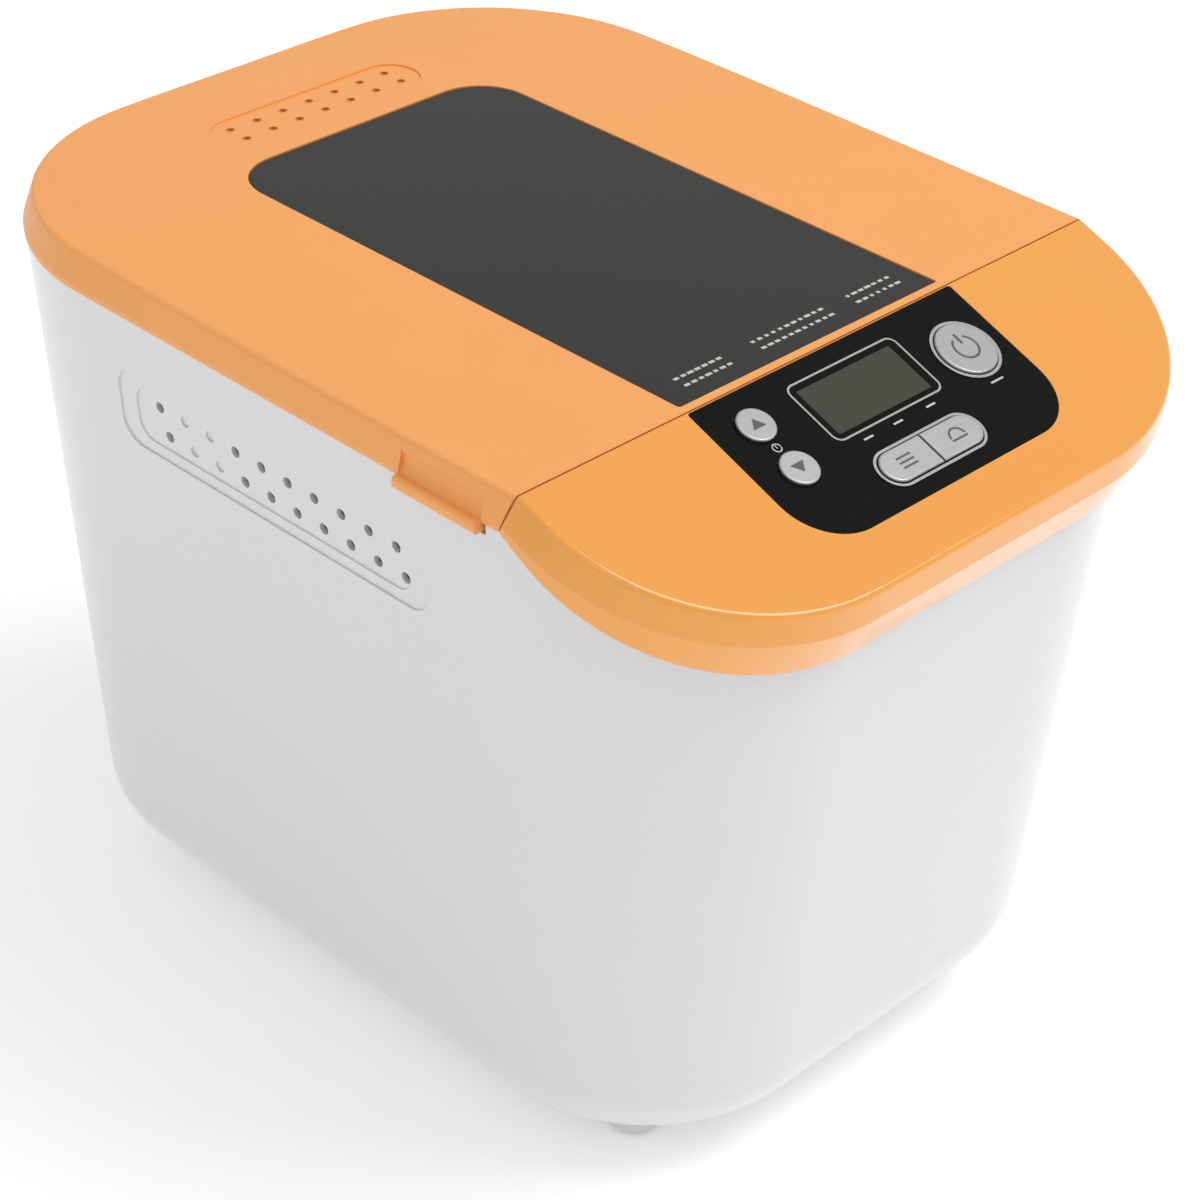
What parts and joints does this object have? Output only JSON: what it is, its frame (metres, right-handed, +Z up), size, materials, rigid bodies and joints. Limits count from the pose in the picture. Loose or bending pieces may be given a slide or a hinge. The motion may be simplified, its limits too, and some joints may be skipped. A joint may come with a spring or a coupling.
{
  "type": "bread machine",
  "caption": "Home bread machine: white tapered body, orange hinged lid with dark window, sloping control panel, removable pan with kneading paddle and belt drive.",
  "frame": {"origin": "on the floor, under the middle of the bounding box", "axes": "+Z up, -Y towards the control panel, +Y towards the hinge, +X to the right seen from the control end"},
  "size_m": [0.2346, 0.3156, 0.23],
  "materials": {
    "shell_white": "satin gloss",
    "lid_orange": "fine satin",
    "cover_orange": "gloss",
    "window_tint": "smoked, polished",
    "clear_glass": "clear",
    "panel_black": "high gloss",
    "key_silver": "brushed metallic",
    "trim_silver": "bright",
    "display_grey": "matt",
    "display_lens": "clear gloss",
    "board_green": "satin",
    "black_plastic": "matt",
    "deck_grey": "fine texture",
    "sheet_steel": "rolled",
    "zinc_steel": "zinc plated",
    "heater_steel": "dark oxide",
    "ceramic": "unglazed",
    "pan_coating": "non-stick, satin",
    "cast_alloy": "as cast",
    "bronze": "sintered",
    "copper": "enamelled wire",
    "core_iron": "laminated",
    "belt_rubber": "matt",
    "foot_rubber": "matt",
    "seal_silicone": "matt"
  },
  "bodies": {
    "housing": {"housing_shell": "shell_white", "feet": "shell_white", "foot_pads": "foot_rubber", "base_plate": "zinc_steel", "base_screws": "zinc_steel", "cord_gland": "black_plastic", "top_deck": "deck_grey", "control_cover": "cover_orange", "control_panel": "panel_black", "panel_trim": "trim_silver", "display_lens": "display_lens", "display_module": "display_grey", "control_board": "board_green", "button_switches": "black_plastic", "chamber": "sheet_steel", "chamber_supports": "zinc_steel", "heating_element": "heater_steel", "heater_bushings": "ceramic", "heater_clips": "sheet_steel", "temperature_sensor": "sheet_steel", "pan_mount": "cast_alloy", "chassis": "zinc_steel", "chassis_screws": "zinc_steel", "bearing_housing": "cast_alloy", "drive_bush": "bronze", "drive_belt": "belt_rubber", "motor_stack": "core_iron", "motor_windings": "copper", "motor_bells": "cast_alloy", "motor_grommets": "belt_rubber", "motor_screws": "zinc_steel", "power_board": "board_green", "board_bracket": "zinc_steel", "board_parts": "black_plastic", "board_screws": "zinc_steel", "hinge_brackets": "shell_white", "hinge_screws": "zinc_steel", "hinge_pins": "zinc_steel"},
    "lid": {"lid_cover": "lid_orange", "lid_window": "window_tint", "lid_inner_frame": "deck_grey", "lid_liner": "sheet_steel", "lid_inner_glass": "clear_glass", "lid_seal": "seal_silicone", "lid_screws": "zinc_steel"},
    "pan": {"pan_body": "pan_coating", "pan_bush": "bronze"},
    "paddle": {"pan_shaft": "sheet_steel", "kneading_paddle": "pan_coating"},
    "bail": {"bail_handle": "zinc_steel"},
    "drive": {"drive_shaft": "sheet_steel", "drive_pulley": "black_plastic", "drive_coupling": "cast_alloy"},
    "rotor": {"motor_rotor": "core_iron", "motor_pulley": "cast_alloy"},
    "start_key": {"start_button": "key_silver"},
    "up_key": {"up_button": "key_silver"},
    "down_key": {"down_button": "key_silver"},
    "menu_key": {"menu_button": "key_silver"},
    "crust_key": {"crust_button": "key_silver"}
  },
  "joints": [
    {"name": "lid_hinge", "type": "hinge", "parent": "housing", "child": "lid", "pos_m": [0, 0.15385, 0.214], "axis": [-1, 0, 0], "range_deg": [0, 95]},
    {"name": "pan_lift", "type": "slide", "parent": "housing", "child": "pan", "axis": [0, 0, 1], "range_m": [0, 0.014]},
    {"name": "bail_hinge", "type": "hinge", "parent": "pan", "child": "bail", "pos_m": [0, 0.019, 0.178], "axis": [1, 0, 0], "range_deg": [0, 11]},
    {"name": "drive_spin", "type": "hinge", "parent": "housing", "child": "drive", "pos_m": [0, 0.019, 0.03], "axis": [0, 0, 1], "continuous": true},
    {"name": "paddle_spin", "type": "hinge", "parent": "pan", "child": "paddle", "pos_m": [0, 0.019, 0.08], "axis": [0, 0, 1], "continuous": true},
    {"name": "rotor_spin", "type": "hinge", "parent": "housing", "child": "rotor", "pos_m": [0, -0.105, 0.075], "axis": [0, 0, 1], "continuous": true},
    {"name": "start_press", "type": "slide", "parent": "housing", "child": "start_key", "axis": [0, 0.3551, -0.9348], "range_m": [0, 0.0005], "stiffness_N_per_m": 600, "springref_m": -0.0006},
    {"name": "up_press", "type": "slide", "parent": "housing", "child": "up_key", "axis": [0, 0.3551, -0.9348], "range_m": [0, 0.0005], "stiffness_N_per_m": 600, "springref_m": -0.0006},
    {"name": "down_press", "type": "slide", "parent": "housing", "child": "down_key", "axis": [0, 0.3551, -0.9348], "range_m": [0, 0.0005], "stiffness_N_per_m": 600, "springref_m": -0.0006},
    {"name": "menu_press", "type": "slide", "parent": "housing", "child": "menu_key", "axis": [0, 0.3551, -0.9348], "range_m": [0, 0.0005], "stiffness_N_per_m": 600, "springref_m": -0.0006},
    {"name": "crust_press", "type": "slide", "parent": "housing", "child": "crust_key", "axis": [0, 0.3551, -0.9348], "range_m": [0, 0.0005], "stiffness_N_per_m": 600, "springref_m": -0.0006}
  ],
  "couplings": [
    {"joint": "paddle_spin", "follows": "drive_spin", "ratio": 1},
    {"joint": "rotor_spin", "follows": "drive_spin", "ratio": 6}
  ]
}
